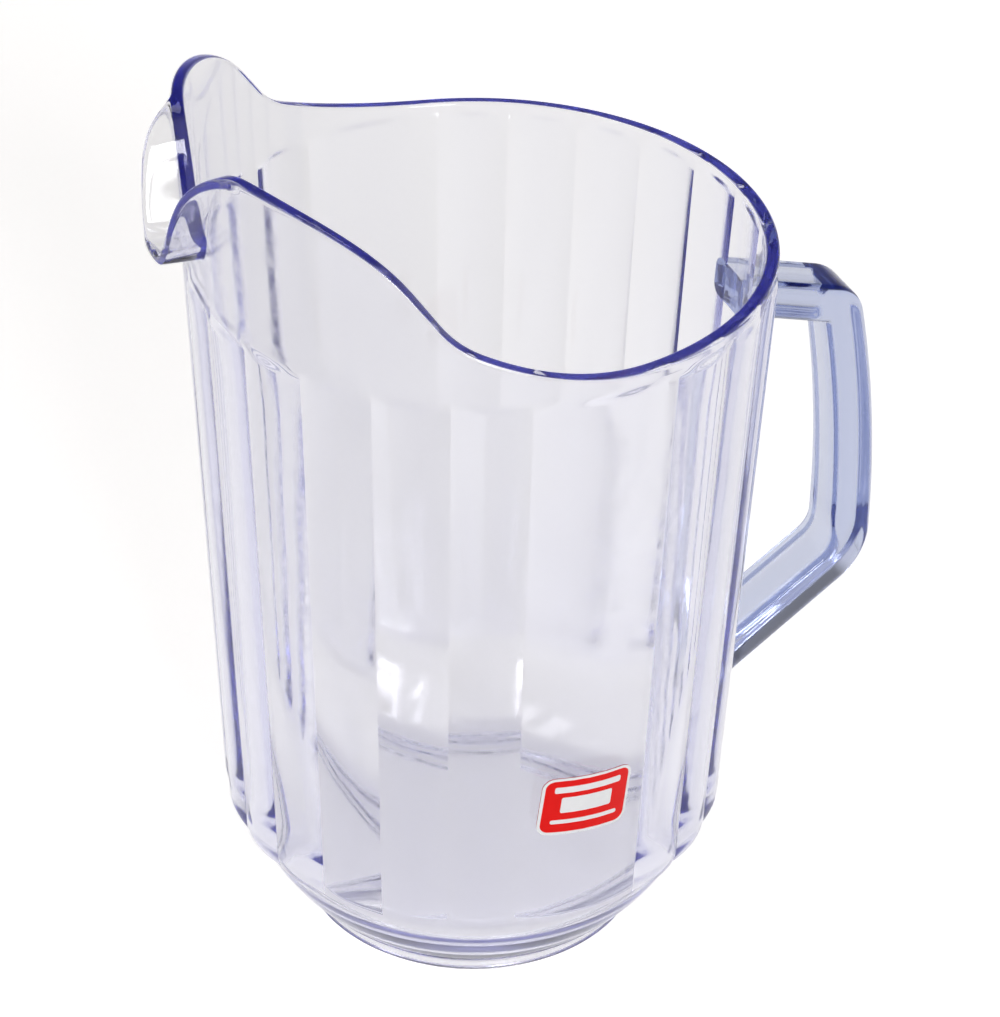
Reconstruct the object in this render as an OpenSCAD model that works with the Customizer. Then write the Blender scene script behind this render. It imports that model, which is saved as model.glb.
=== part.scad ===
// Clear plastic beer pitcher with a fluted barrel, a winged pouring spout and a strap handle.
// Millimetres. Z is the barrel axis and the foot stands on z = 0. The handle is on +X, the lip on -X.

/* [Barrel] */
// Outside diameter of the plain band at the rim
rim_d = 135; // [115:1:160]
// Height of the level part of the rim
rim_h = 184; // [160:1:220]
// Wall thickness at the rim
rim_wall = 3.2; // [2.4:0.1:4]
// Height of the rounding of the rim's edge
rim_round = 1.4; // [0.4:0.1:2]
// Diameter over the flutes at the lower end of the barrel
barrel_d = 124; // [110:1:150]
// Wall thickness over a flute at the lower end of the barrel
barrel_wall = 5.2; // [4.6:0.1:6]
// Number of flute pitches, a multiple of four
flute_n = 24; // [16:4:32]
// Turn of the flutes about the barrel axis
flute_turn = 2; // [-5:0.5:5]
// Depth of the grooves between the flutes
flute_depth = 1.2; // [0.5:0.1:2.2]
// How far the flutes stand proud of the plain band
flute_proud = 0.5; // [0:0.1:1.5]
// Height of the plain band between the flutes and the level rim
band_h = 2.8; // [2.2:0.1:8]
// Height over which the flutes run out into the plain band
flute_runout = 3; // [0.5:0.1:5]
// Height of the rounding at the lower end of each flute
toe_h = 3; // [1:0.1:8]
// Inset of the rounding at the lower end of each flute
toe_inset = 0.6; // [0.2:0.1:1.8]
// Height above the seam over which the wall thickens on its inside
root_h = 16; // [8:1:30]
// How much the wall thickens on its inside at the seam
root_t = 1.5; // [0.5:0.1:4]

/* [Spout] */
// Rise of the wings above the level rim, at the crown of their curve
wing_rise = 38.2; // [32:0.1:50]
// Distance of that crown from the barrel axis
wing_crown = 70; // [66:1:90]
// Radius of the rounded curve over a wing
wing_r = 38; // [25:1:46]
// Steepest slope of the rim on its way up to a wing
wing_slope = 55; // [45:1:65]
// Radius of the long hollow curve that leaves the level rim
hollow_r = 95; // [40:1:110]
// Slope of the rim at the end of the long hollow curve
hollow_slope = 24; // [10:1:30]
// Radius of the knee between the hollow curve and the steep part
knee_r = 20; // [5:1:25]
// How far the lip reaches out from the band
lip_reach = 10; // [5:0.1:18]
// How far the lip lies below the wings
lip_drop = 26; // [15:0.5:32]
// Angle from the middle of the lip at which its edge has climbed half of the way
lip_half = 7.5; // [5:0.1:12]
// Half angle of the spout
spout_angle = 20; // [15:0.5:28]
// Thickness of the lip
lip_t = 1.7; // [1.5:0.1:4]
// Height of the fillet under the lip
lip_fillet = 1.2; // [0.5:0.1:4]

/* [Base] */
// Height of the seam between the base and the barrel
seam_h = 28; // [18:1:40]
// How far the base stands inside the grooves at the seam
seam_step = 1.7; // [0.1:0.1:3]
// Slope of the ledge from the base up to the flutes
ledge_angle = 33; // [20:1:60]
// Outside diameter of the foot
foot_d = 86.4; // [70:0.2:100]
// Width of the foot ring
foot_w = 3.6; // [2:0.1:8]
// Height of the upright side of the foot
foot_h = 3; // [1:0.1:8]
// Depth of the recess inside the foot ring
foot_recess = 5; // [1:0.1:8]
// Thickness of the floor
floor_t = 5.5; // [2:0.1:7]
// Wall thickness of the base beside the floor, measured level from a straight cone
base_wall = 3.2; // [2.4:0.1:6]
// How far the side of the base bulges from a straight cone
base_bulge = 1.6; // [0:0.1:3]
// Run over rise of the inside of the base where it meets the floor
bowl_lean = 1; // [0.7:0.05:1.5]

/* [Handle] */
// Width of the strap
strap_w = 16; // [10:0.5:24]
// Thickness of the strap at its upper end
strap_t = 9.7; // [6:0.1:13]
// How much thicker the strap is at its lower end
strap_grow = 1.8; // [0:0.1:4]
// Radius of the strap's edges
strap_edge = 2.8; // [0.5:0.1:4]
// Height of the middle of the upper arm at the barrel
arm_h = 156; // [130:0.5:170]
// Length of the upper arm outside the rim radius
arm_len = 22; // [15:0.5:50]
// Downward slope of the upper arm
arm_slope = 16; // [0:1:30]
// Radius of the upper bend, on the inside of the strap
top_bend_r = 1; // [0.6:0.1:15]
// Turn of the upper bend
top_bend = 62; // [45:1:80]
// Length of the grip
grip_len = 64; // [40:1:75]
// Turn of the bowed grip
grip_bow = 12; // [4:1:20]
// Radius of the lower bend, at the middle of the strap
low_bend_r = 12.5; // [6:0.1:25]
// Height above the seam at which the middle of the lower arm meets the barrel
low_rise = 21; // [18:0.5:40]

/* [Label] */
// Width of the label
label_w = 23; // [10:0.5:28]
// Height of the label
label_h = 17; // [8:0.5:40]
// Radius of the label's corners
label_corner = 3; // [0.5:0.1:4]
// Thickness of the label
label_t = 0.2; // [0.1:0.05:0.5]
// Height of the middle of the label
label_z = 66; // [50:1:150]
// Shift of the label towards the handle
label_shift = 2; // [-4:0.5:4]
// Tilt of the label
label_tilt = -5; // [-10:1:10]

/* [Hidden] */

rim_r = rim_d / 2;
rim_in_r = rim_r - rim_wall;
barrel_r = barrel_d / 2;
barrel_in_r = barrel_r - barrel_wall;
base_top_r = barrel_r - flute_depth - toe_inset - seam_step;
toe_end = seam_h + toe_h + (flute_depth + seam_step) * tan(ledge_angle);
flute_top = rim_h - band_h;
crown_z = rim_h + wing_rise;
pitch = 360 / flute_n;
spout_dir = 180;
side_dir = 90;

// Tapers of the outside and of the inside, in millimetres of radius for each millimetre of height
out_draft = (rim_r + flute_proud - barrel_r) / (flute_top - seam_h);
in_draft = (rim_in_r - barrel_in_r) / (rim_h - seam_h);

// The rim seen from the side: level, a long hollow, a knee, a straight climb and the round top of the wing
hollow_rise = hollow_r * (1 - cos(hollow_slope));
knee_rise = knee_r * (cos(hollow_slope) - cos(wing_slope));
climb_rise = wing_rise - hollow_rise - knee_rise - wing_r * (1 - cos(wing_slope));
climb_end = wing_crown - wing_r * sin(wing_slope);
knee_end = climb_end - climb_rise / tan(wing_slope);
hollow_end = knee_end - knee_r * (sin(wing_slope) - sin(hollow_slope));
hollow_x = hollow_end - hollow_r * sin(hollow_slope);

// Columns of the loft in one pitch, as parts of it, and close together round the spout
flute_cols = [for (i = [0 : 5]) i / 6];
spout_cols = [for (i = [0 : 15]) i / 16];
spout_reach = 25;
col_angles = [for (k = [0 : flute_n - 1])
    for (c = abs((k + 0.5) * pitch + flute_turn - spout_dir) < spout_reach ? spout_cols : flute_cols)
        (k + c) * pitch + flute_turn];

// Rows of the loft: parts of the toe and of the root, and steps of the edge's half round
toe_rows = [0, 0.3, 0.6, 1];
edge_steps = [30, 60, 90, 120, 150];
root_rows = [1, 0.6, 0.3, 0];

// How square the rim's edge is: 2 would be a plain half ellipse
edge_power = 3.2;

// Angles of a direction from the handle, from 0 to 180, and from the lip
function from_handle(phi) = let (p = (phi % 360 + 360) % 360) p > 180 ? 360 - p : p;
function from_lip(phi) = spout_dir - from_handle(phi);
function smooth_step(low, high, x) = let (t = max(0, min(1, (x - low) / (high - low)))) t * t * (3 - 2 * t);

// Height of the rim's side curve at a distance from the axis towards the lip
function rise(radius, offset) = radius - sqrt(radius ^ 2 - offset ^ 2);
function arc_z(x) = x <= hollow_x ? rim_h
    : x <= hollow_end ? rim_h + rise(hollow_r, x - hollow_x)
    : x <= knee_end ? rim_h + hollow_rise + knee_r * (cos(hollow_slope) - 1)
        + rise(knee_r, x - hollow_end + knee_r * sin(hollow_slope))
    : x <= climb_end ? rim_h + hollow_rise + knee_rise + (x - knee_end) * tan(wing_slope)
    : crown_z - rise(wing_r, wing_crown - x);

// Height of the rim round the barrel: the side curve, with the dip of the lip between the wings
function dip(phi) = lip_drop / (1 + (from_lip(phi) / lip_half) ^ 4);
function top_z(phi) = arc_z(rim_r * cos(from_lip(phi))) - dip(phi);

// How much deeper the lip is, measured straight down, where its edge climbs
function lip_lean(phi) = let (a = from_lip(phi) / lip_half)
    norm([1, 4 * lip_drop * a ^ 3 / (1 + a ^ 4) ^ 2 / (rim_r * lip_half * PI / 180)]);

// Depth below the crest of a panel: each is one shallow lobe, and the two side ones are twice as wide
function groove(phi) = let (
        p = ((phi - flute_turn) / pitch % flute_n + flute_n) % flute_n,
        side = min(abs(p - flute_n / 4), abs(p - 3 * flute_n / 4)))
    flute_depth * (side < 1 ? side : 2 * abs(p - floor(p) - 0.5)) ^ 2;

// Height of the upper edge of the ledge under the flutes
function ledge_z(phi) = seam_h + (flute_depth + seam_step - groove(phi)) * tan(ledge_angle);

// How far the spout stands out at a direction, as a part of its reach
function beak(phi) = let (a = from_lip(phi) / spout_angle) a < 1 ? (1 - a ^ 3) ^ 3 : 0;

// Radius of the fluted outside, of the band with the spout, and of the inside
function flute_r(phi, z) = barrel_r + out_draft * (z - seam_h) - groove(phi);
function band_r(phi, z) = let (under = top_z(phi) - lip_t * lip_lean(phi))
    rim_r + out_draft * (z - rim_h) + lip_reach * beak(phi) * smooth_step(under - lip_fillet, under, z);
function in_r(z) = rim_in_r + in_draft * (z - rim_h) - root_t * max(0, (seam_h + root_h - z) / root_h) ^ 2;

function at(phi, r, z) = [r * cos(phi), r * sin(phi), z];

// Heights of the rows from the flutes' tops to the edge: close together in the fillet under the lip
function band_rows(phi, edge_z) = let (
        plain = band_h - rim_round,
        under = max(min(top_z(phi) - lip_t * lip_lean(phi), edge_z - plain / 8), flute_top + plain / 2),
        low = max(under - lip_fillet, flute_top + plain / 4))
    concat([(flute_top + low) / 2, low], [for (t = [0.3, 0.5, 0.7, 1]) low + t * (under - low)], [edge_z]);

// One closed section of the wall: up the outside, over the edge and down the inside
function wall_section(phi) = let (
        edge_z = top_z(phi) - rim_round,
        rows = band_rows(phi, edge_z),
        out_edge = band_r(phi, edge_z),
        in_edge = in_r(edge_z),
        mid = (out_edge + in_edge) / 2,
        half = (out_edge - in_edge) / 2)
    concat(
        [at(phi, base_top_r, seam_h)],
        [for (t = toe_rows) let (z = ledge_z(phi) * (1 - t) + toe_end * t)
            at(phi, flute_r(phi, z) - toe_inset * (1 - t) ^ 2, z)],
        [at(phi, flute_r(phi, flute_top - flute_runout), flute_top - flute_runout)],
        [at(phi, band_r(phi, flute_top), flute_top)],
        [for (z = rows) at(phi, band_r(phi, z), z)],
        [for (s = edge_steps) at(phi, mid + half * sign(cos(s)) * abs(cos(s)) ^ (2 / edge_power),
            edge_z + rim_round * sin(s) ^ (2 / edge_power))],
        [for (i = [len(rows) - 1 : -1 : 0]) at(phi, in_r(rows[i]), rows[i])],
        [at(phi, in_r(flute_top), flute_top)],
        [for (t = root_rows) let (z = seam_h + t * root_h) at(phi, in_r(z), z)]);

// Joins a ring of closed sections into one solid
module ring_loft(sections) {
    n = len(sections);
    m = len(sections[0]);
    polyhedron(
        points = [for (s = sections) each s],
        faces = [for (j = [0 : n - 1], i = [0 : m - 1])
            let (a = j * m + i, b = j * m + (i + 1) % m, c = (j + 1) % n * m + (i + 1) % m, d = (j + 1) % n * m + i)
            each [[a, b, c], [a, c, d]]]);
}

// A wedge of the fluted body from its axis to a given distance outside the flutes
module flute_wedge(middle, half, grow = 0) {
    cols = [for (turn = [-360, 0], a = col_angles) if (abs(a + turn - middle) <= half + 0.01) a + turn];
    low = toe_end;
    high = flute_top - flute_runout;
    n = len(cols);
    polyhedron(
        points = concat(
            [[0, 0, low], [0, 0, high]],
            [for (a = cols) each [at(a, flute_r(a, low) + grow, low), at(a, flute_r(a, high) + grow, high)]]),
        faces = concat(
            [[0, 1, 3], [0, 3, 2], [0, 2 * n, 2 * n + 1], [0, 2 * n + 1, 1]],
            [for (j = [1 : n - 1]) let (a = 2 * j, b = a + 1, c = a + 3, d = a + 2)
                each [[a, b, c], [a, c, d], [0, a, d], [1, c, b]]]));
}

module barrel() {
    color("lavender", 0.5) ring_loft([for (phi = col_angles) wall_section(phi)]);
}

// Points of a curve from p to q that bulges by a given height to its right
function bulge_curve(p, q, height, steps = 10) = let (
        d = (q - p) / norm(q - p),
        c = (p + q) / 2 + 2 * height * [d[1], -d[0]])
    [for (i = [0 : steps]) let (t = i / steps) p * (1 - t) ^ 2 + 2 * c * t * (1 - t) + q * t ^ 2];

// Points of a curve from p down to q that leaves and arrives with the given leans, as run over drop
function bowl_curve(p, lean_p, q, lean_q, steps = 10) = let (
        drop = p[1] - q[1],
        t = max(0, min(drop, (p[0] - q[0] - lean_q * drop) / (lean_p - lean_q))),
        c = [p[0] - lean_p * t, p[1] - t])
    [for (i = [0 : steps]) let (t = i / steps) p * (1 - t) ^ 2 + 2 * c * t * (1 - t) + q * t ^ 2];

module base() {
    foot_r = foot_d / 2;
    floor_z = foot_recess + floor_t;
    cone_lean = (base_top_r - foot_r) / (seam_h - foot_h);
    floor_r = foot_r + cone_lean * (floor_z - foot_h) - base_wall;
    wall_lean = in_draft + 2 * root_t / root_h;
    color("lavender", 0.5) rotate_extrude($fn = 128) polygon(concat(
        [[0, foot_recess], [foot_r - foot_w, foot_recess], [foot_r - foot_w, 0], [foot_r, 0]],
        bulge_curve([foot_r, foot_h], [base_top_r, seam_h], base_bulge),
        bowl_curve([in_r(seam_h), seam_h], wall_lean, [floor_r, floor_z], bowl_lean),
        [[0, floor_z]]));
}

// Corner points of a rounded rectangle
function rounded_rect(w, h, r) = [for (q = [0 : 3], s = [0 : 15 : 90])
    [(q == 0 || q == 3 ? 1 : -1) * (w / 2 - r) + r * cos(90 * q + s), (q < 2 ? 1 : -1) * (h / 2 - r) + r * sin(90 * q + s)]];

// The strap's middle line as points [x, z, slope]: a straight run and a bend, each from the point before it
function run_end(p, length) = [p[0] + length * cos(p[2]), p[1] - length * sin(p[2]), p[2]];
function bend_steps(p, radius, turn, steps) = [for (i = [1 : steps]) let (h = p[2] + turn * i / steps)
    [p[0] + radius * (sin(h) - sin(p[2])), p[1] + radius * (cos(h) - cos(p[2])), h]];
function last(list) = list[len(list) - 1];

// Slope of the straight run that leaves a bend, which starts at p, and goes to a target [x, z]
function slope_to(p, radius, target) = let (
        dx = target[0] - p[0] + radius * sin(p[2]),
        dz = target[1] - p[1] + radius * cos(p[2]))
    360 + atan2(dx, dz) - acos(radius / norm([dx, dz]));

// Thickness of the strap at a height, as a share of that at its upper end
function strap_share(z) = 1 + strap_grow / strap_t * (arm_h - z) / (arm_h - seam_h - low_rise);

// Sweeps the strap's section along a middle line in the XZ plane, with the section's first axis across the line
module sweep(path, section) {
    n = len(path);
    m = len(section);
    polyhedron(
        points = [for (p = path, s = section) let (a = s[0] * strap_share(p[1]))
            [p[0] + a * sin(p[2]), s[1], p[1] + a * cos(p[2])]],
        faces = concat(
            [[for (i = [0 : m - 1]) i], [for (i = [m - 1 : -1 : 0]) (n - 1) * m + i]],
            [for (j = [0 : n - 2], i = [0 : m - 1])
                let (a = j * m + i, b = j * m + (i + 1) % m, c = b + m, d = a + m)
                each [[a, d, c], [a, c, b]]]));
}

module handle() {
    root = rim_r / 2;
    start = [root, arm_h + (rim_r - root) * tan(arm_slope), arm_slope];
    arm = run_end(start, (rim_r - root) / cos(arm_slope) + arm_len);
    top = bend_steps(arm, top_bend_r + strap_t / 2, top_bend, 9);
    grip = bend_steps(last(top), grip_len / (grip_bow * PI / 180), grip_bow, 6);
    landing = [barrel_r + out_draft * low_rise, seam_h + low_rise];
    low = bend_steps(last(grip), low_bend_r, slope_to(last(grip), low_bend_r, landing) - last(grip)[2], 9);
    low_run = (last(low)[0] - landing[0]) / -cos(last(low)[2]) + strap_t + strap_grow;
    color("lightsteelblue", 0.6) difference() {
        sweep(concat([start, arm], top, grip, low, [run_end(last(low), low_run)]),
            rounded_rect(strap_t, strap_w, strap_edge));
        flute_wedge(0, 2 * pitch);
    }
}

module label() {
    panel_dir = flute_turn - side_dir;
    color("red") difference() {
        intersection() {
            translate([label_shift, 0, label_z]) rotate([90, 0, 0]) rotate(label_tilt)
                linear_extrude(rim_d) polygon(rounded_rect(label_w, label_h, label_corner));
            flute_wedge(panel_dir, pitch, label_t);
        }
        flute_wedge(panel_dir, 2 * pitch);
    }
}

barrel();
base();
handle();
label();
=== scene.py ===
import math

import bmesh
import bpy
import numpy as np
from mathutils import Matrix, Vector


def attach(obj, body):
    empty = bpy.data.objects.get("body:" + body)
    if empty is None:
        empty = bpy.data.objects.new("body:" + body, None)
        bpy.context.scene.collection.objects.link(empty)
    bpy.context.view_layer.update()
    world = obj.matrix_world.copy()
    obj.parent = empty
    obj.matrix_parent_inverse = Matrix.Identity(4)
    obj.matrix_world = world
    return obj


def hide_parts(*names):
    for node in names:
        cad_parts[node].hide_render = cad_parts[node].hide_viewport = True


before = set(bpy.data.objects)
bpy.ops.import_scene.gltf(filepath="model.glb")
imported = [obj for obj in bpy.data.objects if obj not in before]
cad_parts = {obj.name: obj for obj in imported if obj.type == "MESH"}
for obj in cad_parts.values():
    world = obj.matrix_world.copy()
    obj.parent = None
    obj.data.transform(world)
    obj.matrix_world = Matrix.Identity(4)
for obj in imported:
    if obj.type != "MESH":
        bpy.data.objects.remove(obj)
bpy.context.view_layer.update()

# Sizes in millimetres and angles in degrees, named as in the part's source
rim_d, rim_h, rim_wall, rim_round = 135.0, 184.0, 3.2, 1.4
barrel_d, barrel_wall = 124.0, 5.2
flute_n, flute_turn, flute_depth, flute_proud = 24, 2.0, 1.2, 0.5
band_h, flute_runout, toe_h, toe_inset = 2.8, 3.0, 3.0, 0.6
wing_rise, wing_crown, wing_r, wing_slope = 38.2, 70.0, 38.0, 55.0
hollow_r, hollow_slope, knee_r = 95.0, 24.0, 20.0
lip_reach, lip_drop, lip_half, spout_angle, lip_t, lip_fillet = 10.0, 26.0, 7.5, 20.0, 1.7, 1.2
root_h, root_t, ledge_angle = 16.0, 1.5, 33.0
seam_h, seam_step, foot_d, foot_w, foot_h = 28.0, 1.7, 86.4, 3.6, 3.0
foot_recess, floor_t, base_wall, base_bulge, bowl_lean = 5.0, 5.5, 3.2, 1.6, 1.0
strap_w, strap_t, strap_grow, strap_edge = 16.0, 9.7, 1.8, 2.8
arm_h, arm_len, arm_slope, top_bend_r, top_bend = 156.0, 22.0, 16.0, 1.0, 62.0
grip_len, grip_bow, low_bend_r, low_rise = 64.0, 12.0, 12.5, 21.0
label_w, label_h, label_corner, label_t = 23.0, 17.0, 3.0, 0.2
label_z, label_shift, label_tilt = 66.0, 2.0, -5.0
edge_power = 3.2

# Sizes that only the scene has: rounded corners, the handle's hold in the wall, and the label's print
recess_fillet, foot_fillet, side_fillet, floor_fillet = 1.2, 0.9, 1.0, 2.4
arm_start, handle_sink = 2, 0.3
film_lift, print_sink, print_lift = 0.01, 0.02, 0.07
border_w, bar_corner = 0.75, 0.5
# Each bar as width, height and place above the label's middle
bars = ((17, 1.8, 5.0), (13, 4.6, 0.4), (17, 1.2, -4.6))

# Largest angle between two facets that are shaded as one surface
SHELL_CREASE, HANDLE_CREASE, SHEET_CREASE = 25, 50, 40
# Where the mesh has rows, as shares of a disc, the ledge, the run-out, the arms and an end of the strap
DISC_ROWS, LEDGE_ROWS, RUNOUT_ROWS = (0.25, 0.5, 0.75, 0.9), (0.35, 0.7), (0.15, 0.35, 0.5, 0.65, 0.85, 1)
ARM_ROWS, LOW_ARM_ROWS, END_ROWS = (0.25, 0.5, 0.75), (0.2, 0.4, 0.6, 0.75), (1, 0.8, 0.6, 0.4, 0.2, 0)
# How many rows the other lengths have, and how many steps a curve
TOE_ROWS, FLUTE_ROWS, BAND_ROWS, LIP_ROWS, TOP_ROWS, WALL_ROWS, ROOT_ROWS = 10, 13, 8, 16, 6, 8, 11
EDGE_STEPS, BEND_STEPS, GRIP_STEPS, SHEET_STEPS = 32, 20, 24, 6
FILM_CORNER_STEPS, BAR_CORNER_STEPS = 8, 4

MM = 0.001
rim_r = rim_d / 2
rim_in_r = rim_r - rim_wall
barrel_r = barrel_d / 2
barrel_in_r = barrel_r - barrel_wall
flute_top = rim_h - band_h
crown_z = rim_h + wing_rise
floor_z = foot_recess + floor_t
pitch = 360 / flute_n
out_draft = (rim_r + flute_proud - barrel_r) / (flute_top - seam_h)
in_draft = (rim_in_r - barrel_in_r) / (rim_h - seam_h)
ledge_rise = math.tan(math.radians(ledge_angle))
base_top_r = barrel_r - flute_depth - toe_inset - seam_step
toe_end = seam_h + toe_h + (flute_depth + seam_step) * ledge_rise
# The rim seen from the side: level, a long hollow, a knee, a straight climb and the round top of the wing
a1, a2 = math.radians(hollow_slope), math.radians(wing_slope)
hollow_rise = hollow_r * (1 - math.cos(a1))
knee_rise = knee_r * (math.cos(a1) - math.cos(a2))
climb_rise = wing_rise - hollow_rise - knee_rise - wing_r * (1 - math.cos(a2))
climb_end = wing_crown - wing_r * math.sin(a2)
knee_end = climb_end - climb_rise / math.tan(a2)
hollow_end = knee_end - knee_r * (math.sin(a2) - math.sin(a1))
hollow_x = hollow_end - hollow_r * math.sin(a1)


def hang(radius, offset):
    """How far an arc has left the level of its lowest or highest point, at an offset from that point."""
    return radius - np.sqrt(np.maximum(radius ** 2 - offset ** 2, 0))


def arc_z(x):
    """Height of the rim seen from the side, at a distance towards the lip."""
    x = np.asarray(x, float)
    hollow = rim_h + hang(hollow_r, x - hollow_x)
    knee_low = rim_h + hollow_rise - knee_r * (1 - math.cos(a1))
    knee = knee_low + hang(knee_r, x - hollow_end + knee_r * math.sin(a1))
    climb = rim_h + hollow_rise + knee_rise + (x - knee_end) * math.tan(a2)
    wing = crown_z - hang(wing_r, wing_crown - x)
    places = [x <= hollow_x, x <= hollow_end, x <= knee_end, x <= climb_end]
    return np.select(places, [rim_h, hollow, knee, climb], wing)


def from_lip(phi):
    return np.abs((phi % 360) - 180)


def smooth_step(low, high, x):
    t = np.clip((x - low) / (high - low), 0, 1)
    return t * t * (3 - 2 * t)


def top_z(phi):
    dip = lip_drop / (1 + (from_lip(phi) / lip_half) ** 4)
    return arc_z(rim_r * np.cos(np.radians(from_lip(phi)))) - dip


def lip_lean(phi):
    """How much deeper the lip is, measured straight down, where its edge climbs."""
    a = from_lip(phi) / lip_half
    climb = 4 * lip_drop * a ** 3 / (1 + a ** 4) ** 2 / (rim_r * math.radians(lip_half))
    return np.sqrt(1 + climb ** 2)


def groove(phi):
    """Depth below the crest of a panel: each is one shallow lobe, and the two side ones are twice as wide."""
    p = ((phi - flute_turn) / pitch) % flute_n
    depth = flute_depth * (2 * np.abs(p - np.floor(p) - 0.5)) ** 2
    for middle in (flute_n / 4, 3 * flute_n / 4):
        across = np.abs(p - middle)
        depth = np.where(across < 1, flute_depth * across ** 2, depth)
    return depth


def beak(phi):
    """How far the lip stands out, as a share of its reach."""
    a = np.minimum(from_lip(phi) / spout_angle, 1)
    return (1 - a ** 3) ** 3


def flute_r(phi, z):
    return barrel_r + out_draft * (z - seam_h) - groove(phi)


def band_r(phi, z):
    under = top_z(phi) - lip_t * lip_lean(phi)
    out = smooth_step(under - lip_fillet, under, z)
    return rim_r + out_draft * (z - rim_h) + lip_reach * beak(phi) * out


def in_r(z):
    root = root_t * np.clip((seam_h + root_h - z) / root_h, 0, 1) ** 2
    return rim_in_r + in_draft * (z - rim_h) - root


# Meshes
def new_object(name, verts, faces, crease):
    mesh = bpy.data.meshes.new(name)
    mesh.from_pydata([tuple(float(c) * MM for c in v) for v in verts], [], faces)
    mesh.validate()
    mesh.polygons.foreach_set("use_smooth", [True] * len(mesh.polygons))
    mesh.set_sharp_from_angle(angle=math.radians(crease))
    obj = bpy.data.objects.new(name, mesh)
    bpy.context.scene.collection.objects.link(obj)
    return obj


def outward(obj, merge=None):
    """Turns the faces outward, once points nearer than the merge distance are one."""
    bm = bmesh.new()
    bm.from_mesh(obj.data)
    if merge:
        bmesh.ops.remove_doubles(bm, verts=bm.verts, dist=merge)
        bmesh.ops.dissolve_degenerate(bm, edges=bm.edges, dist=merge)
    bmesh.ops.recalc_face_normals(bm, faces=bm.faces)
    bm.to_mesh(obj.data)
    bm.free()


def ring_quad(j, i, n):
    """Corners of face i between ring j and the next, with n points to a ring."""
    k = (i + 1) % n
    return (j * n + i, j * n + k, (j + 1) * n + k, (j + 1) * n + i)


def closed_skin(name, rings, first, final, crease):
    """A closed skin through rings of points, with a middle point at each end."""
    n = len(rings[0])
    verts = [v for ring in rings for v in ring] + [first, final]
    faces = [ring_quad(j, i, n) for j in range(len(rings) - 1) for i in range(n)]
    top = (len(rings) - 1) * n
    low, high = top + n, top + n + 1
    for i in range(n):
        k = (i + 1) % n
        faces.append((low, k, i))
        faces.append((high, top + i, top + k))
    return new_object(name, verts, faces, crease)


# Columns of the wall: close together by the grooves and round the spout
HALF_FLUTE = [0, 0.012, 0.03, 0.055, 0.09, 0.14, 0.2, 0.28, 0.38, 0.5]
FLUTE_COLS = HALF_FLUTE + [1 - c for c in HALF_FLUTE[-2:0:-1]]
SPOUT_FROM, SPOUT_TO, SPOUT_STEP, LEAST_STEP = 156.1, 204, 0.25, 0.08


def column_angles():
    angles = [(k + c) * pitch + flute_turn for k in range(flute_n) for c in FLUTE_COLS]
    angles += list(np.arange(SPOUT_FROM, SPOUT_TO, SPOUT_STEP))
    angles = sorted(a % 360 for a in angles)
    kept = [angles[0]]
    for a in angles[1:]:
        if a - kept[-1] > LEAST_STEP:
            kept.append(a)
    return np.array(kept)


PHI = column_angles()


def round_corner(p, q, r, radius, steps=6):
    """Points of a fillet at q on the way from p to r."""
    p, q, r = (np.array(v, float) for v in (p, q, r))
    u = (p - q) / np.linalg.norm(p - q)
    v = (r - q) / np.linalg.norm(r - q)
    half = math.acos(float(np.clip(u @ v, -1, 1))) / 2
    reach = radius / math.tan(half)
    a, b = q + u * reach, q + v * reach
    mid = q + (u + v) / np.linalg.norm(u + v) * radius / math.sin(half)
    out = []
    start = math.atan2(*(a - mid)[::-1])
    turn = math.atan2(*(b - mid)[::-1]) - start
    turn = (turn + math.pi) % (2 * math.pi) - math.pi
    for i in range(steps + 1):
        t = start + turn * i / steps
        out.append(mid + radius * np.array([math.cos(t), math.sin(t)]))
    return out


def pulled_curve(p, c, q, steps):
    """A curve from p to q that is pulled towards c."""
    return [p * (1 - t) ** 2 + 2 * c * t * (1 - t) + q * t ** 2 for t in np.linspace(0, 1, steps + 1)]


def bulge_curve(p, q, height, steps=14):
    """A curve from p to q that stands out by the given height."""
    p, q = np.array(p, float), np.array(q, float)
    d = (q - p) / np.linalg.norm(q - p)
    c = (p + q) / 2 + 2 * height * np.array([d[1], -d[0]])
    return pulled_curve(p, c, q, steps)


def bowl_curve(p, lean_p, q, lean_q, steps=16):
    """A curve from p down to q that leaves and arrives with the given leans, as run over drop."""
    drop = (p[0] - q[0] - lean_q * (p[1] - q[1])) / (lean_p - lean_q)
    c = np.array([p[0] - lean_p * drop, p[1] - drop])
    return pulled_curve(np.array(p, float), c, np.array(q, float), steps)


def between(a, b, steps):
    """Evenly spaced values from a, left out, to b."""
    return [a + (b - a) * t for t in np.linspace(0, 1, steps + 1)[1:]]


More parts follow.
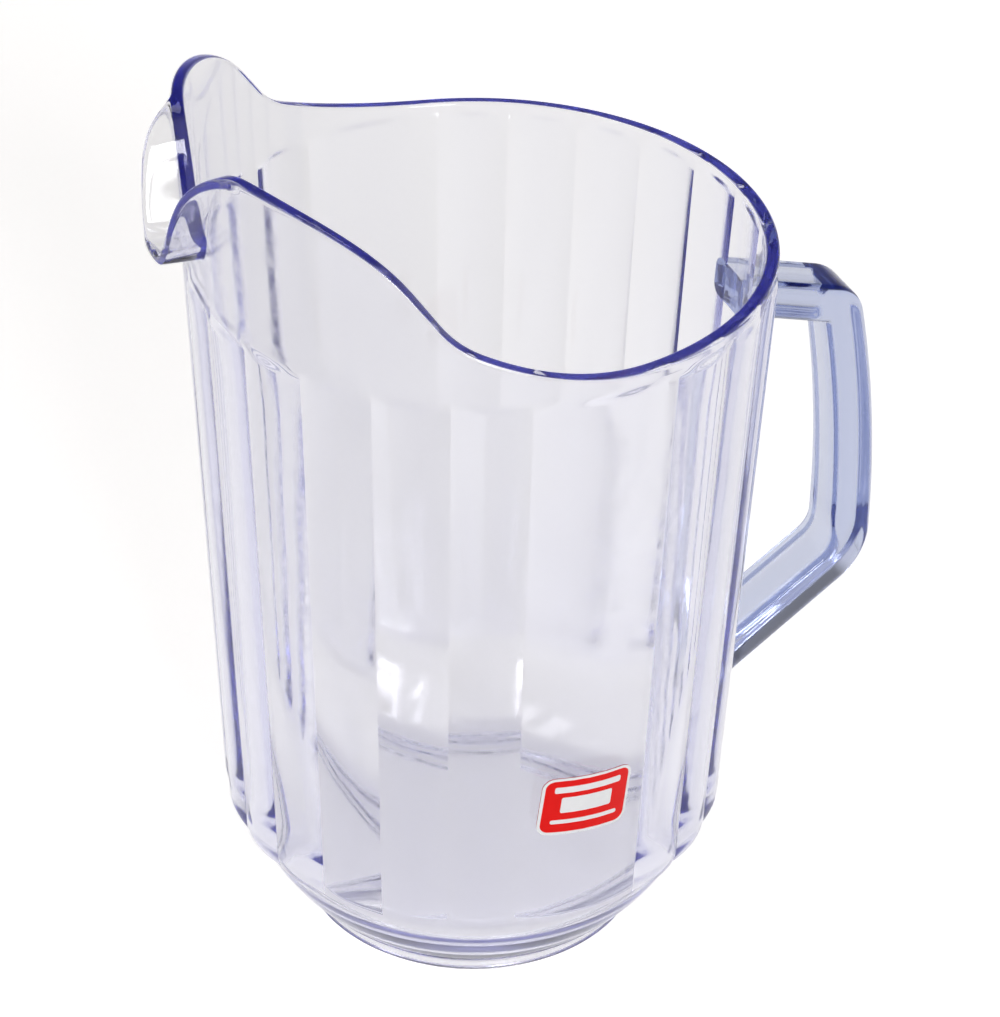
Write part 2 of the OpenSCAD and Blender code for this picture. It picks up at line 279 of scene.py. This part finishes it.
def shell_rows():
    """Rows of the whole wall, each as radius and height for every column, from under the floor to its top."""
    one = np.ones_like(PHI)
    foot_r = foot_d / 2
    hole_r = foot_r - foot_w
    cone_lean = (base_top_r - foot_r) / (seam_h - foot_h)
    floor_r = foot_r + cone_lean * (floor_z - foot_h) - base_wall
    rows = []

    def level_rows(points):
        rows.extend((one * r, one * z) for r, z in points)

    # The recess, the foot ring and the side of the base
    hole_top, hole_foot, foot_edge = (hole_r, foot_recess), (hole_r, 0), (foot_r, 0)
    side = bulge_curve((foot_r, foot_h), (base_top_r, seam_h), base_bulge)
    level_rows([(hole_r * t, foot_recess) for t in DISC_ROWS])
    level_rows(round_corner((0, foot_recess), hole_top, hole_foot, recess_fillet))
    level_rows(round_corner(hole_top, hole_foot, foot_edge, foot_fillet))
    level_rows(round_corner(hole_foot, foot_edge, side[0], foot_fillet))
    level_rows(round_corner(foot_edge, side[0], side[1], side_fillet))
    level_rows(side[1:])
    # The sloped ledge, the toe of each flute, its straight length, and its run-out into the plain band
    ledge = flute_depth - groove(PHI) + seam_step
    for t in LEDGE_ROWS:
        rows.append((base_top_r + t * ledge, seam_h + t * ledge * ledge_rise))
    for t in np.linspace(0, 1, TOE_ROWS + 1):
        z = (seam_h + ledge * ledge_rise) * (1 - t) + toe_end * t
        rows.append((flute_r(PHI, z) - toe_inset * (1 - t) ** 2, z))
    for z in np.linspace(toe_end, flute_top - flute_runout, FLUTE_ROWS + 1)[1:]:
        rows.append((flute_r(PHI, z), one * z))
    for t in RUNOUT_ROWS:
        z = flute_top - flute_runout * (1 - t)
        s = smooth_step(0, 1, t)
        rows.append((flute_r(PHI, z) * (1 - s) + band_r(PHI, z) * s, one * z))
    # The plain band with the lip, the rounded edge, and the same heights down the inside
    edge_z = top_z(PHI) - rim_round
    under = edge_z + rim_round - lip_t * lip_lean(PHI)
    plain = band_h - rim_round
    under = np.maximum(np.minimum(under, edge_z - plain / 8), flute_top + plain / 2)
    low = np.maximum(under - lip_fillet, flute_top + plain / 4)
    heights = between(flute_top, low, BAND_ROWS)
    heights += between(low, under, LIP_ROWS)
    heights += between(under, edge_z, TOP_ROWS)
    for z in heights:
        rows.append((band_r(PHI, z), z))
    r_out, r_in = band_r(PHI, edge_z), in_r(edge_z)
    for s in np.radians(np.linspace(0, 180, EDGE_STEPS + 1)[1:-1]):
        across = math.copysign(abs(math.cos(s)) ** (2 / edge_power), math.cos(s))
        rise = math.sin(s) ** (2 / edge_power)
        rows.append(((r_out + r_in) / 2 + (r_out - r_in) / 2 * across, edge_z + rim_round * rise))
    for z in heights[::-1]:
        rows.append((in_r(z), z))
    # The inside: the wall, the bowl and the floor
    root_top = seam_h + root_h
    wall = list(np.linspace(flute_top, root_top, WALL_ROWS + 1))
    wall += list(np.linspace(root_top, seam_h, ROOT_ROWS + 1)[1:])
    for z in wall:
        rows.append((in_r(z), one * z))
    wall_lean = in_draft + 2 * root_t / root_h
    bowl = bowl_curve((barrel_in_r - root_t, seam_h), wall_lean, (floor_r, floor_z), bowl_lean)
    level_rows(bowl[1:-2])
    level_rows(round_corner(bowl[-3], bowl[-1], (0, floor_z), floor_fillet))
    level_rows([(floor_r * t, floor_z) for t in DISC_ROWS[::-1]])
    return rows


def build_shell():
    c, s = np.cos(np.radians(PHI)), np.sin(np.radians(PHI))
    rings = [np.stack([r * c, r * s, z], 1) for r, z in shell_rows()]
    return closed_skin("pitcher_shell", rings, (0, 0, foot_recess), (0, 0, floor_z), SHELL_CREASE)


shell = build_shell()


# The handle: a rounded strap swept along its middle line, with its ends laid against the fluted wall
def strap_line():
    """Points of the middle line, each with its distance from the axis, its height and its downward slope."""
    def bend(p, radius, turn, steps):
        h = np.radians(p[2] + turn * np.arange(1, steps + 1) / steps)
        h0 = math.radians(p[2])
        x = p[0] + radius * (np.sin(h) - math.sin(h0))
        z = p[1] + radius * (np.cos(h) - math.cos(h0))
        return list(zip(x, z, np.degrees(h)))

    def run(p, length):
        h = math.radians(p[2])
        return (p[0] + length * math.cos(h), p[1] - length * math.sin(h), p[2])

    lean = math.radians(arm_slope)
    start = (rim_r + arm_start, arm_h - arm_start * math.tan(lean), arm_slope)
    arm = run(start, arm_len - arm_start / math.cos(lean))
    path = [start] + [run(start, t * (arm_len - arm_start)) for t in ARM_ROWS] + [arm]
    path += bend(path[-1], top_bend_r + strap_t / 2, top_bend, BEND_STEPS)
    path += bend(path[-1], grip_len / math.radians(grip_bow), grip_bow, GRIP_STEPS)
    p = path[-1]
    landing = (barrel_r + out_draft * low_rise, seam_h + low_rise)
    dx = landing[0] - p[0] + low_bend_r * math.sin(math.radians(p[2]))
    dz = landing[1] - p[1] + low_bend_r * math.cos(math.radians(p[2]))
    slope = 360 + math.degrees(math.atan2(dx, dz) - math.acos(low_bend_r / math.hypot(dx, dz)))
    path += bend(p, low_bend_r, slope - p[2], BEND_STEPS)
    p = path[-1]
    length = (p[0] - landing[0]) / -math.cos(math.radians(p[2]))
    path += [run(p, length * t) for t in LOW_ARM_ROWS]
    return path


def rounded_rect(w, h, r, steps=10, sides=4):
    """Outline of a rectangle with round corners, and with each straight side in a few lengths."""
    corners = []
    for q, (sx, sy) in enumerate(((1, 1), (-1, 1), (-1, -1), (1, -1))):
        x, y = sx * (w / 2 - r), sy * (h / 2 - r)
        turns = [math.radians(90 * q + 90 * i / steps) for i in range(steps + 1)]
        corners.append([(x + r * math.cos(a), y + r * math.sin(a)) for a in turns])
    points = []
    for corner, following in zip(corners, corners[1:] + corners[:1]):
        points += corner
        (x0, y0), (x1, y1) = corner[-1], following[0]
        points += [(x0 + (x1 - x0) * i / sides, y0 + (y1 - y0) * i / sides) for i in range(1, sides)]
    return points


def to_wall(p, d, sink, reach=40.0, halvings=40):
    """Moves a point along d until it lies the given depth inside the fluted wall."""
    low, high = 0.0, reach
    for _ in range(halvings):
        t = (low + high) / 2
        q = p + d * t
        phi = math.degrees(math.atan2(q[1], q[0]))
        if math.hypot(q[0], q[1]) > float(flute_r(np.array(phi), q[2])) - sink:
            low = t
        else:
            high = t
    return p + d * high


def strap_share(z):
    """Thickness of the strap at a height, as a share of that at its upper end."""
    return 1 + strap_grow / strap_t * (arm_h - z) / (arm_h - seam_h - low_rise)


def build_handle():
    section = rounded_rect(strap_t, strap_w, strap_edge)
    path = strap_line()
    rings = []
    for x, z, h in path:
        s = math.sin(math.radians(h)) * strap_share(z)
        c = math.cos(math.radians(h)) * strap_share(z)
        rings.append([np.array([x + a * s, b, z + a * c]) for a, b in section])

    def end_rings(point, way):
        """Rings of an end face, from its outline to its middle, each sent along the strap to the wall."""
        x, z, h = point[0], point[1], math.radians(point[2])
        d = np.array([math.cos(h), 0, -math.sin(h)]) * way
        out = []
        for k in END_ROWS:
            ring = []
            for a, b in section:
                a *= k * strap_share(z)
                p = np.array([x + a * math.sin(h), k * b, z + a * math.cos(h)])
                ring.append(to_wall(p, d, handle_sink))
            out.append(ring)
        return out

    head, tail = end_rings(path[0], -1), end_rings(path[-1], 1)
    rings = head[-2::-1] + rings + tail[:-1]
    return closed_skin("pitcher_handle", rings, head[-1][0], tail[-1][0], HANDLE_CREASE)


handle = build_handle()


# The label: a thin vinyl sheet laid on the wide side panel, with a plain printed border and bars
def on_panel(u, v, lift, rounds=4):
    """A point of the label, in its own plane, laid on the panel's surface."""
    t = math.radians(label_tilt)
    x = label_shift + u * math.cos(t) - v * math.sin(t)
    z = label_z + u * math.sin(t) + v * math.cos(t)
    y = -barrel_r
    for _ in range(rounds):
        r = float(flute_r(np.array(math.degrees(math.atan2(y, x))), z)) + lift
        y = -math.sqrt(r * r - x * x)
    return np.array([x, y, z])


def sheet(name, outline, inner, low, high):
    """A thin closed sheet between two outlines, or from its middle to one outline."""
    m = len(outline)
    steps = SHEET_STEPS
    loops = []
    for k in range(steps + 1):
        t = k / steps
        loops.append([(a * t + c * (1 - t), b * t + d * (1 - t)) for (a, b), (c, d) in zip(outline, inner)])
    verts = [on_panel(u, v, lift) for lift in (low, high) for loop in loops for u, v in loop]
    faces = []
    half = (steps + 1) * m
    for j in range(steps):
        for i in range(m):
            quad = ring_quad(j, i, m)
            faces.append(quad[::-1])
            faces.append(tuple(half + q for q in quad))
    for i in range(m):
        k = (i + 1) % m
        faces.append((steps * m + i, steps * m + k, half + steps * m + k, half + steps * m + i))
        faces.append((i, half + i, half + k, k))
    obj = new_object(name, verts, faces, SHEET_CREASE)
    outward(obj, merge=1e-7)
    return obj


film = rounded_rect(label_w, label_h, label_corner, FILM_CORNER_STEPS)
inside_w, inside_h = label_w - 2 * border_w, label_h - 2 * border_w
border_in = rounded_rect(inside_w, inside_h, label_corner - border_w, FILM_CORNER_STEPS)
print_low, print_high = label_t - print_sink, label_t + print_lift
label = sheet("label_film", film, [(0, 0)] * len(film), film_lift, label_t)
prints = [sheet("label_border", film, border_in, print_low, print_high)]
for i, (w, h, v) in enumerate(bars):
    bar = [(a, b + v) for a, b in rounded_rect(w, h, bar_corner, BAR_CORNER_STEPS)]
    prints.append(sheet(f"label_bar_{i + 1}", bar, [(0, v)] * len(bar), print_low, print_high))


# Materials
def set_inputs(node, values):
    for socket, value in values.items():
        node.inputs[socket].default_value = value


def add_node(tree, kind, values=None):
    node = tree.nodes.new(kind)
    set_inputs(node, values or {})
    return node


def add_math(tree, operation, *operands):
    """Output of a Math node, where each operand is a number or another node's output."""
    node = tree.nodes.new("ShaderNodeMath")
    node.operation = operation
    for socket, operand in zip(node.inputs, operands):
        if isinstance(operand, (int, float)):
            socket.default_value = operand
        else:
            tree.links.new(operand, socket)
    return node.outputs[0]


def material(name):
    mat = bpy.data.materials.new(name)
    mat.use_nodes = True
    tree = mat.node_tree
    return mat, tree, tree.nodes["Principled BSDF"]


def clear_plastic(name, absorb, density, wave):
    """Clear moulded plastic: tinted in its depth, with the faint waves and scuffs of a moulding."""
    mat, tree, bsdf = material(name)
    link = tree.links.new
    set_inputs(bsdf, {"Base Color": (1, 1, 1, 1), "Transmission Weight": 1, "IOR": 1.49})
    place = add_node(tree, "ShaderNodeTexCoord").outputs["Object"]
    flow = add_node(tree, "ShaderNodeTexNoise", {"Scale": 55, "Detail": 1.5})
    bump = add_node(tree, "ShaderNodeBump", {"Strength": wave, "Distance": 0.001})
    scuff = add_node(tree, "ShaderNodeTexNoise", {"Scale": 240, "Detail": 4})
    scuff_span = {"From Min": 0.35, "From Max": 0.75, "To Min": 0.02, "To Max": 0.11}
    rough = add_node(tree, "ShaderNodeMapRange", scuff_span)
    link(place, flow.inputs["Vector"])
    link(place, scuff.inputs["Vector"])
    link(flow.outputs["Fac"], bump.inputs["Height"])
    link(bump.outputs["Normal"], bsdf.inputs["Normal"])
    link(scuff.outputs["Fac"], rough.inputs["Value"])
    link(rough.outputs["Result"], bsdf.inputs["Roughness"])
    depth = add_node(tree, "ShaderNodeVolumeAbsorption", {"Color": (*absorb, 1), "Density": density})
    link(depth.outputs["Volume"], tree.nodes["Material Output"].inputs["Volume"])
    return mat


def vinyl(name, dark, light, rough, gloss):
    """Printed vinyl: a fine mottle in its colour, and a fine grain."""
    mat, tree, bsdf = material(name)
    link = tree.links.new
    set_inputs(bsdf, {"Roughness": rough, "Specular IOR Level": gloss})
    place = add_node(tree, "ShaderNodeTexCoord").outputs["Object"]
    noise = add_node(tree, "ShaderNodeTexNoise", {"Scale": 400, "Detail": 3})
    ramp = add_node(tree, "ShaderNodeValToRGB")
    ramp.color_ramp.elements[0].color = (*dark, 1)
    ramp.color_ramp.elements[1].color = (*light, 1)
    bump = add_node(tree, "ShaderNodeBump", {"Strength": 0.05, "Distance": 0.0002})
    link(place, noise.inputs["Vector"])
    link(noise.outputs["Fac"], ramp.inputs["Fac"])
    link(ramp.outputs["Color"], bsdf.inputs["Base Color"])
    link(noise.outputs["Fac"], bump.inputs["Height"])
    link(bump.outputs["Normal"], bsdf.inputs["Normal"])
    return mat


plastic = clear_plastic("clear_plastic", absorb=(0.18, 0.2, 0.76), density=15, wave=0.06)
grip_plastic = clear_plastic("handle_plastic", absorb=(0.06, 0.2, 0.64), density=33, wave=0.05)
red = vinyl("red_vinyl", dark=(0.8, 0.004, 0.003), light=(0.92, 0.008, 0.006), rough=0.28, gloss=0.15)
white = vinyl("white_print", dark=(0.86, 0.86, 0.88), light=(0.95, 0.95, 0.96), rough=0.3, gloss=0.3)

for obj, mat, slot, nodes in ((shell, plastic, "clear_plastic", ("barrel", "base")),
                              (handle, grip_plastic, "handle_plastic", ("handle",)),
                              (label, red, "label_vinyl", ("label",))):
    obj.data.materials.append(mat)
    outward(obj)
    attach(obj, "root")
    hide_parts(*nodes)
for obj in prints:
    obj.data.materials.append(white)
    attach(obj, "root")

# Stage: a white floor that keeps a soft shadow, in a white studio that is dark only high up at the back
# Turn of the camera about the pitcher's axis, which the studio and the lamps share
LOOK = math.radians(-22.9)
STUDIO_TINT = (1, 0.98, 0.97, 1)
FLOOR_SIZE, FLOOR_Z = 12, -0.0003
# What the floor adds where the camera sees it straight, and where it is seen through plastic or in a gloss
FLOOR_STRAIGHT, FLOOR_THROUGH = 0.76, 0.56
# The studio's two levels, the way to its dark part, and the share of its light that matt surfaces get
STUDIO_LIGHT, STUDIO_DARK = 0.85, 0.05
DARK_WAY, DARK_FROM, DARK_FULL = (0, 0.6, 0.8), 0.45, 0.85
MATT_SHARE = 0.06


def seen_level(tree, straight, through):
    """One level for what the camera sees straight, and one for what glass or gloss shows of it."""
    path = add_node(tree, "ShaderNodeLightPath")
    sent_on = add_math(tree, "MAXIMUM", path.outputs["Is Glossy Ray"], path.outputs["Is Transmission Ray"])
    level = add_math(tree, "MULTIPLY", path.outputs["Is Camera Ray"], straight)
    return add_math(tree, "MULTIPLY_ADD", sent_on, through, level)


def build_floor():
    bpy.ops.mesh.primitive_plane_add(size=FLOOR_SIZE, location=(0, 0, FLOOR_Z))
    floor = bpy.context.object
    floor.name = "floor"
    mat, tree, bsdf = material("floor_white")
    set_inputs(bsdf, {"Base Color": (0.8, 0.8, 0.8, 1), "Roughness": 0.9, "Specular IOR Level": 0})
    set_inputs(bsdf, {"Emission Color": STUDIO_TINT})
    tree.links.new(seen_level(tree, FLOOR_STRAIGHT, FLOOR_THROUGH), bsdf.inputs["Emission Strength"])
    floor.data.materials.append(mat)
    return floor


floor = build_floor()


def build_studio():
    world = bpy.data.worlds.new("studio")
    bpy.context.scene.world = world
    world.use_nodes = True
    tree = world.node_tree
    link = tree.links.new
    background = tree.nodes["Background"]
    set_inputs(background, {"Color": STUDIO_TINT})
    coords = add_node(tree, "ShaderNodeTexCoord")
    turn = add_node(tree, "ShaderNodeVectorRotate", {"Angle": -LOOK})
    turn.rotation_type = "Z_AXIS"
    along = add_node(tree, "ShaderNodeVectorMath", {1: DARK_WAY})
    along.operation = "DOT_PRODUCT"
    sky_span = {"From Min": DARK_FROM, "From Max": DARK_FULL, "To Min": STUDIO_LIGHT, "To Max": STUDIO_DARK}
    sky = add_node(tree, "ShaderNodeMapRange", sky_span)
    sky.interpolation_type = "SMOOTHSTEP"
    dim = add_node(tree, "ShaderNodeMapRange", {"To Min": MATT_SHARE, "To Max": 1})
    link(coords.outputs["Generated"], turn.inputs["Vector"])
    link(turn.outputs["Vector"], along.inputs[0])
    link(along.outputs["Value"], sky.inputs["Value"])
    link(seen_level(tree, 1, 1), dim.inputs["Value"])
    level = add_math(tree, "MULTIPLY", sky.outputs["Result"], dim.outputs["Result"])
    link(level, background.inputs["Strength"])


build_studio()


def area_light(name, place, target, size, power):
    """A lamp placed and aimed as the camera sees the scene: x to the right, y away."""
    data = bpy.data.lights.new(name, "AREA")
    data.shape = "RECTANGLE"
    data.size, data.size_y = size
    data.energy = power
    obj = bpy.data.objects.new(name, data)
    obj.location = Matrix.Rotation(LOOK, 3, "Z") @ Vector(place)
    aim = Matrix.Rotation(LOOK, 3, "Z") @ Vector(target) - obj.location
    obj.rotation_euler = aim.to_track_quat("-Z", "Y").to_euler()
    bpy.context.scene.collection.objects.link(obj)


area_light("window_left", (-1.8, -1.0, 1.8), (0, 0, 0.1), (0.7, 1.0), 10)
area_light("top_box", (0.4, 0.8, 2.6), (0, 0, 0.1), (1.2, 1.2), 10)
area_light("front_box", (1.0, -2.4, 1.1), (0, 0, 0.08), (1.0, 1.0), 50)

# Camera, fitted to the photograph
DISTANCE, AIM_H, RISE = 0.8, 0.1, math.radians(34.864)
ROLL, PAN, TILT = math.radians(1.291), math.radians(0.476), math.radians(-0.521)
FOCAL_PX, PHOTO_W_PX, SENSOR_MM = 3324.651, 1000, 36


def build_camera():
    place = Vector((0, -DISTANCE * math.cos(RISE), AIM_H + DISTANCE * math.sin(RISE)))
    down = RISE + TILT
    forward = Vector((math.sin(PAN) * math.cos(down), math.cos(PAN) * math.cos(down), -math.sin(down)))
    right = forward.cross(Vector((0, 0, 1))).normalized()
    up = right.cross(forward)
    image_x = right * math.cos(ROLL) + up * math.sin(ROLL)
    image_y = up * math.cos(ROLL) - right * math.sin(ROLL)
    pose = Matrix((image_x, image_y, -forward)).transposed().to_4x4()
    pose.translation = place
    data = bpy.data.cameras.new("camera")
    data.sensor_width = SENSOR_MM
    data.sensor_fit = "HORIZONTAL"
    data.lens = SENSOR_MM * FOCAL_PX / PHOTO_W_PX
    data.clip_end = 50
    camera = bpy.data.objects.new("camera", data)
    camera.matrix_world = Matrix.Rotation(LOOK, 4, "Z") @ pose
    bpy.context.scene.collection.objects.link(camera)
    return camera


# Light passes many walls and runs far inside them, so it gets many bounces
CLEAR_BOUNCES, MATT_BOUNCES = 96, 3

scene = bpy.context.scene
scene.camera = build_camera()
scene.view_settings.view_transform = "Standard"
scene.cycles.max_bounces = CLEAR_BOUNCES
scene.cycles.transmission_bounces = CLEAR_BOUNCES
scene.cycles.glossy_bounces = CLEAR_BOUNCES
scene.cycles.diffuse_bounces = MATT_BOUNCES
